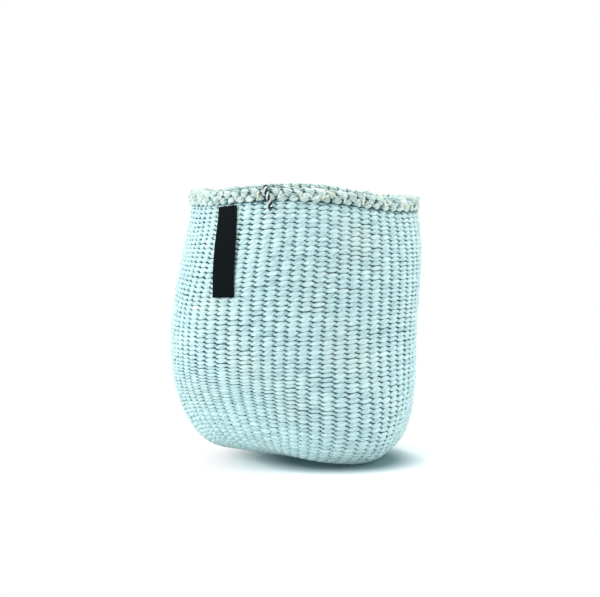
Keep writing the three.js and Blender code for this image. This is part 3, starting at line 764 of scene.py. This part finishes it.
def plait_strand(number):
    """A strand swings up and down once a turn, and out and in twice, so that the three cross each other."""
    steps = PLAIT_TURNS * PLAIT_STEPS
    step = np.arange(steps + 1)
    angle = (TIE_TOP_ANGLE + TIE_FOOT_ANGLE) / 2 + 2 * np.pi * step / steps
    phase = 2 * np.pi * (step / PLAIT_STEPS + PLAIT_START + number / 3)
    middle, out = rim_place(angle)
    loose = rim_fullness(angle)
    swing = (RIM_HEIGHT / 2 - STRAND_HALF_HEIGHT) * loose * (1 + drift(step, *SWING_DRIFT))
    lean = -PLAIT_SWING * loose * np.sin(2 * phase) * (1 + drift(step, *LEAN_DRIFT))
    path = middle + out * lean[:, None]
    path[:, 2] += swing * np.sin(phase)
    along = unit(np.gradient(path, axis=0))
    flat_out = unit(out - along * np.sum(along * out, axis=1, keepdims=True))
    across = np.cross(along, flat_out)
    swung = np.abs(np.sin(2 * phase))
    full = loose * (1 + SWELL_ACROSS * (swung - MEAN_SWING) + drift(step, *FULLNESS_DRIFT))
    flat = np.sin(phase) ** 2 * (1 - swung)
    roll = drift(step, *ROLL_DRIFT)
    other_shade = np.clip(drift(step, *OTHER_SHADE_DRIFT) - OTHER_SHADE_MISSED, 0, MOST_OTHER_SHADE)
    strands = []
    for row in (-1, 0, 1):
        for layer in (-1, 1):
            up = row * (STRAND_HALF_HEIGHT - YARN_HALF_HEIGHT) * full * (1 + drift(step, *ROW_DRIFT))
            deep = layer * (STRAND_HALF_DEPTH - YARN_HALF_DEPTH) * full
            deep = deep * (1 - OUTER_YARN_CLOSENESS * abs(row)) * (1 + SPREAD_WHEN_FLAT * flat)
            deep = deep + drift(step, *LAYER_DRIFT)
            offset_out = deep * np.cos(roll) - up * np.sin(roll)
            offset_up = up * np.cos(roll) + deep * np.sin(roll)
            line = path + flat_out * offset_out[:, None] + across * offset_up[:, None]
            swell = full * (1 + drift(step, *YARN_SWELL_DRIFT))
            half_depth = YARN_HALF_DEPTH * swell * (1 + YARN_FLATTENING * flat)
            rings = rings_along(line, out, half_depth, YARN_HALF_HEIGHT * swell, YARN_SIDES)
            # Painted shade: each yarn is coloured darker the deeper it lies in the plait.
            around = rings - middle[:, None]
            outwards = np.sum(around * out[:, None], axis=2) / RIM_HALF_DEPTH
            outness = np.hypot(outwards, around[..., 2] / (RIM_HEIGHT / 2)) / loose[:, None]
            shade = YARN_SHADE_SPREAD * dice.normal() + drift(step, *YARN_SHADE_DRIFT)
            shade = shade[:, None] - CREVICE_DARKNESS * (1 - ease(outness, *CREVICE_OUTNESS))
            warmth = np.clip(other_shade + drift(step, *YARN_WARMTH_DRIFT) - YARN_WARMTH_MISSED, 0, 1)
            strands.append((rings, shade, warmth))
    return strands


for number in range(3):
    strand = yarn_object(f"rim_plait_{number + 1}", plait_strand(number))
    strand.data.materials.append(rim_yarn)
    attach(strand, "basket")
    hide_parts(f"rim_strand_{number + 1}")


# The tie
# A cord of one black and one white ply, wound once round the rim where the plait meets itself. It ends in a
# small black knot on each face of the wall.

WHITE_PLY_RADIUS, BLACK_PLY_RADIUS = 0.00056, 0.00074
TIE_PLY_OFFSET, TIE_PLY_TURN, TIE_SPACING = 0.00062, 0.0046, 0.0004
# Its way round the plait in radians, as a bent stake end's, and how far it stands off it.
TIE_START, TIE_END, TIE_STEPS, TIE_GROWTH = -2.7, -6.95, 30, 0.0010
KNOT_SIZE, KNOT_LINE_RADIUS, KNOT_DEPTH, KNOT_STEPS = 0.0011, 0.00058, 1.2, 60
KNOT_OFF_WALL, KNOT_BELOW_TOP = 0.0018, 0.0022

# Cotton thread is matt and closely twisted, with faint painted shade between its plies. The black ply is a
# soft black, and the white one slightly cool.
black_ply = spun_yarn(
    "black_cotton_ply",
    body="#15191b",
    light="#2a2f32",
    deep="#0a0c0d",
    painted_shade_colour="#0a0c0d",
    warm="#22262a",
    plies=2,
    twist_mm=2.0,
    fibre_mm=1.5,
    groove_shade=0.2,
    roughness=0.8,
    sheen=0.1,
)
white_ply = spun_yarn(
    "white_cotton_ply",
    body="#eef2f1",
    light="#fbfcfb",
    deep="#cfd6d6",
    painted_shade_colour="#cfd6d6",
    warm="#e9e6da",
    plies=2,
    twist_mm=2.0,
    fibre_mm=1.5,
    groove_shade=0.2,
    roughness=0.8,
    sheen=0.1,
)

tie_turns = np.linspace(TIE_START, TIE_END, TIE_STEPS)
tie_shares = (np.arange(TIE_STEPS) / (TIE_STEPS - 1)) ** 2
tie_angles = TIE_TOP_ANGLE + (TIE_FOOT_ANGLE - TIE_TOP_ANGLE) * tie_shares
tie_rows = [
    round_rim(angle, np.array([turn]), TIE_GROWTH, 0.0)[0] for angle, turn in zip(tie_angles, tie_turns)
]
outer_knot, inner_knot = [
    on_wall(np.array([angle]), np.array([TOP_RUN - KNOT_BELOW_TOP]), np.array([out]))[0]
    for angle, out in (
        (TIE_FOOT_ANGLE, WALL_HALF + KNOT_OFF_WALL),
        (TIE_TOP_ANGLE, -(WALL_HALF + KNOT_OFF_WALL)),
    )
]
tie_path = smooth_path([inner_knot, *tie_rows, outer_knot], TIE_SPACING)
tie_middle = rim_place(TIE_TOP_ANGLE)[0]
tie_plies = [
    laid_plies(tie_path, tie_path - tie_middle, radius, TIE_PLY_OFFSET, TIE_PLY_TURN, 2, YARN_SIDES)[ply]
    for ply, radius in enumerate((WHITE_PLY_RADIUS, BLACK_PLY_RADIUS))
]
tie = yarn_object("tie_white_ply", [(tie_plies[0], 0.2, 0.0)])
tie.data.materials.append(white_ply)


def small_knot(centre, way):
    """An overhand knot pulled small: a thick line in three lobes that crosses itself."""
    turn = np.linspace(0, 2 * np.pi, KNOT_STEPS + 1)[:-1]
    lobes = [
        np.sin(turn) + 2 * np.sin(2 * turn),
        np.cos(turn) - 2 * np.cos(2 * turn),
        -np.sin(3 * turn) * KNOT_DEPTH,
    ]
    flat = np.stack(lobes, -1) / 3 * KNOT_SIZE
    side = unit(np.cross(way, np.array([0, 0, 1.0])))
    rise = np.cross(side, way)
    line = centre + flat[:, :1] * side + flat[:, 1:2] * rise + flat[:, 2:] * way
    line = np.concatenate([line, line[:1]])
    outward = np.cross(np.gradient(line, axis=0), way)
    return rings_along(line, outward, KNOT_LINE_RADIUS, KNOT_LINE_RADIUS, YARN_SIDES)


knots = [
    (small_knot(knot, unit((knot - tie_middle) * np.array([1.0, 1.0, 0.0]))), 0.0, 0.0)
    for knot in (outer_knot, inner_knot)
]
black = yarn_object("tie_black_ply", [(tie_plies[1], 0.0, 0.0), *knots])
black.data.materials.append(black_ply)
for piece in (tie, black):
    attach(piece, "basket")
    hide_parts("tie_cord")


# The cloth label
# A black woven ribbon, sewn by its top edge under the rim so that it hangs down the wall. It is bare, with
# a firm selvedge down each side, and one edge stands off the wall a little halfway down.

LABEL_WIDTH, LABEL_LENGTH, LABEL_THICKNESS = 0.016, 0.0585, 0.0005
LABEL_TOP_ANGLE, LABEL_FOOT_ANGLE = math.radians(-129.7), math.radians(-123.5)
LABEL_ABOVE_WEAVE, LABEL_OFF_WALL = 0.0010, 0.0007
LABEL_CELLS_ACROSS, LABEL_CELLS_DOWN = 30, 110
EDGE_LIFT = 0.0013
SELVEDGE_RISE, SELVEDGE_SHARE = 0.00008, 0.455
RIBBON_WAVE, WAVES_DOWN, WAVES_ACROSS = 0.00012, 9, 3
SHARP_EDGE = math.radians(50)
THREAD_SPACING_MM, THREAD_SLANT = 0.34, 0.5

down, side = np.meshgrid(
    np.linspace(0, 1, LABEL_CELLS_DOWN + 1), np.linspace(-0.5, 0.5, LABEL_CELLS_ACROSS + 1), indexing="ij"
)
label_angle = LABEL_TOP_ANGLE + (LABEL_FOOT_ANGLE - LABEL_TOP_ANGLE) * down
label_height = wall_middle(LABEL_TOP_ANGLE, TOP_STAGE)[2] + LABEL_ABOVE_WEAVE - LABEL_LENGTH * down
# The stage of the wall at each height, found by closing in on it.
label_stage = np.full(down.shape, TOP_STAGE)
for _ in range(4):
    label_stage += (label_height - wall_middle(label_angle, label_stage)[..., 2]) / NECK_RISE
label_run = run_of(label_stage)
column_edges = [
    on_wall(label_angle + half * COLUMN_ANGLE, label_run, np.full(down.shape, WALL_HALF))
    for half in (-0.5, 0.5)
]
column_width = np.linalg.norm(column_edges[1] - column_edges[0], axis=-1)
turned = label_angle + side * LABEL_WIDTH * COLUMN_ANGLE / column_width
selvedge = SELVEDGE_RISE * (np.abs(side) > SELVEDGE_SHARE)
waved = RIBBON_WAVE * np.sin(WAVES_DOWN * down + WAVES_ACROSS * side)
lifted = EDGE_LIFT * np.sin(np.pi * down) ** 2 * (0.5 - side) ** 2
label_points = on_wall(turned, label_run, WALL_HALF + LABEL_OFF_WALL + waved + lifted + selvedge)

bpy.ops.mesh.primitive_grid_add(x_subdivisions=LABEL_CELLS_ACROSS, y_subdivisions=LABEL_CELLS_DOWN, size=1)
label = bpy.context.object
label.name = "label_ribbon"
for vertex in label.data.vertices:
    from_foot = round((vertex.co.y + 0.5) * LABEL_CELLS_DOWN)
    from_left = round((vertex.co.x + 0.5) * LABEL_CELLS_ACROSS)
    vertex.co = label_points[LABEL_CELLS_DOWN - from_foot, from_left]
ribbon_uv = label.data.uv_layers.active
ribbon_uv.name = "along_yarn"
for corner in ribbon_uv.data:
    corner.uv = (corner.uv[0] * LABEL_WIDTH * 1000, corner.uv[1] * LABEL_LENGTH * 1000)
ribbon = label.modifiers.new("ribbon_thickness", "SOLIDIFY")
ribbon.thickness = LABEL_THICKNESS
ribbon.offset = 0
bpy.ops.object.modifier_apply(modifier="ribbon_thickness")
bpy.ops.object.shade_smooth_by_angle(angle=SHARP_EDGE)

# Matt black cotton tape. Its fine diagonal weave shows only as a slight grain.
label_cloth = bpy.data.materials.new("black_woven_ribbon")
label_cloth.use_nodes = True
cloth = label_cloth.node_tree
cloth_shader = cloth.nodes["Principled BSDF"]
cloth_shader.inputs["Roughness"].default_value = 0.9
cloth_shader.inputs["Specular IOR Level"].default_value = 0.08
cloth_uv = node(cloth, "ShaderNodeUVMap", uv_map="along_yarn")
cloth_place = node(cloth, "ShaderNodeSeparateXYZ", {0: cloth_uv.outputs[0]})
threads = []
for axis in (0, 1):
    slant = node(
        cloth,
        "ShaderNodeMath",
        {0: cloth_place.outputs[1 - axis], 1: THREAD_SLANT, 2: cloth_place.outputs[axis]},
        operation="MULTIPLY_ADD",
    )
    scaled = node(
        cloth, "ShaderNodeMath", {0: slant.outputs[0], 1: math.pi / THREAD_SPACING_MM}, operation="MULTIPLY"
    )
    wave = node(cloth, "ShaderNodeMath", {0: scaled.outputs[0]}, operation="SINE")
    thread = node(cloth, "ShaderNodeMath", {0: wave.outputs[0]}, operation="ABSOLUTE")
    threads.append(thread.outputs[0])
weave = node(cloth, "ShaderNodeMath", {0: threads[0], 1: threads[1]}, operation="MULTIPLY")
cloth_ramp = node(cloth, "ShaderNodeValToRGB", {"Fac": weave.outputs[0]})
cloth_ramp.color_ramp.elements[0].color = linear("#04080a")
cloth_ramp.color_ramp.elements[1].color = linear("#11191d")
cloth.links.new(cloth_ramp.outputs["Color"], cloth_shader.inputs["Base Color"])
cloth_relief = node(
    cloth, "ShaderNodeBump", {"Strength": 0.6, "Distance": 0.0001, "Height": weave.outputs[0]}
)
cloth.links.new(cloth_relief.outputs["Normal"], cloth_shader.inputs["Normal"])
label.data.materials.append(label_cloth)
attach(label, "label_flap")
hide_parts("label")


# The studio
# A table of white paper that runs back into a white wall, under big soft lamps on both sides and overhead.
# Near the basket the paper is real, so it keeps the shadow, with a painted shadow added under the basket,
# and further out it fades into the backdrop.

TABLE_RADIUS = 3
# Distances from this place on the paper, beside the middle of the shadow.
SHADOW_PLACE = (0.03, -0.02, 0.0)
PAINTED_SHADOW_TO, PAPER_FADES = (0.035, 0.06), (0.05, 0.102)
PAPER_GLOW, ROOM_LIGHT = 0.16, 0.65
LAMP_AIM = np.array([0.0, 0.0, 0.09])


def seen_as_white(tree):
    """The kind of ray, and 1 for one that sees the backdrop: straight, or in something shiny or clear."""
    ray = node(tree, "ShaderNodeLightPath")
    seen = ray.outputs["Is Camera Ray"]
    for other in ("Is Glossy Ray", "Is Transmission Ray"):
        either = node(tree, "ShaderNodeMath", {0: seen, 1: ray.outputs[other]}, operation="MAXIMUM")
        seen = either.outputs[0]
    return ray, seen


bpy.ops.mesh.primitive_circle_add(vertices=128, radius=TABLE_RADIUS, fill_type="NGON")
table = bpy.context.object
table.name = "studio_table"
# Matt paper has almost no shine, so the shadow on it is soft and clean.
table_paint = bpy.data.materials.new("white_paper")
table_paint.use_nodes = True
paper = table_paint.node_tree
paper_shader = paper.nodes["Principled BSDF"]
paper_shader.inputs["Roughness"].default_value = 0.9
paper_shader.inputs["Specular IOR Level"].default_value = 0.1
white_light = node(paper, "ShaderNodeEmission", {"Color": (1, 1, 1, 1), "Strength": 1.0})
paper_ray, paper_seen = seen_as_white(paper)
spot = node(paper, "ShaderNodeTexCoord")
from_shadow = node(
    paper, "ShaderNodeVectorMath", {0: spot.outputs["Object"], 1: SHADOW_PLACE}, operation="DISTANCE"
)
fade = node(
    paper,
    "ShaderNodeMapRange",
    {"Value": from_shadow.outputs["Value"], "From Min": PAPER_FADES[0], "From Max": PAPER_FADES[1]},
    interpolation_type="SMOOTHSTEP",
)
# Under the basket the paper is given a dark teal painted shadow, so that the light it gives the base
# doesn't wash out the shadow. Round it the paper is a faint aqua white, a painted tint of the light that
# the wall throws back onto it.
out_of_painted_shadow = node(
    paper,
    "ShaderNodeMapRange",
    {"Value": from_shadow.outputs["Value"], "From Min": PAINTED_SHADOW_TO[0], "From Max": PAINTED_SHADOW_TO[1]},
)
painted_shadow_tint = node(
    paper,
    "ShaderNodeMix",
    {0: out_of_painted_shadow.outputs[0], 6: linear("#86a1a5"), 7: linear("#f1f9fb")},
    data_type="RGBA",
)
paper.links.new(painted_shadow_tint.outputs[2], paper_shader.inputs["Base Color"])
glow = node(paper, "ShaderNodeMath", {0: fade.outputs[0], 1: paper_seen}, operation="MULTIPLY")
# All of the paper gives the basket a little light, as the rest of a white studio does.
glow = node(
    paper,
    "ShaderNodeMath",
    {0: paper_ray.outputs["Is Diffuse Ray"], 1: PAPER_GLOW, 2: glow.outputs[0]},
    operation="MULTIPLY_ADD",
)
blended = node(
    paper, "ShaderNodeMixShader", {0: glow.outputs[0], 1: paper_shader.outputs[0], 2: white_light.outputs[0]}
)
# Seen from below, the table lets the base show.
below = node(paper, "ShaderNodeNewGeometry")
clear = node(paper, "ShaderNodeBsdfTransparent")
sided = node(
    paper, "ShaderNodeMixShader", {0: below.outputs["Backfacing"], 1: blended.outputs[0], 2: clear.outputs[0]}
)
paper.links.new(sided.outputs[0], paper.nodes["Material Output"].inputs["Surface"])
table.data.materials.append(table_paint)

for name, place, size, power in (
    ("left_softbox", (-0.9, -0.35, 0.45), 0.7, 5.6),
    ("right_softbox", (0.95, -0.1, 0.55), 0.7, 4.2),
    ("overhead_softbox", (0.0, 0.05, 1.1), 0.9, 9.0),
):
    bpy.ops.object.light_add(type="AREA", location=place)
    lamp = bpy.context.object
    lamp.name = name
    lamp.data.size = size
    lamp.data.energy = power
    towards = LAMP_AIM - np.array(place)
    lamp.rotation_euler = (
        math.atan2(math.hypot(towards[0], towards[1]), -towards[2]),
        0,
        math.atan2(towards[1], towards[0]) - math.pi / 2,
    )

world = bpy.data.worlds.new("studio_room")
bpy.context.scene.world = world
world.use_nodes = True
room = world.node_tree
backdrop = room.nodes["Background"]
backdrop.inputs["Color"].default_value = (1, 1, 1, 1)
_, room_seen = seen_as_white(room)
room_strength = node(room, "ShaderNodeMapRange", {"Value": room_seen, "To Min": ROOM_LIGHT, "To Max": 1.0})
room.links.new(room_strength.outputs[0], backdrop.inputs["Strength"])

bpy.context.scene.view_settings.view_transform = "Standard"
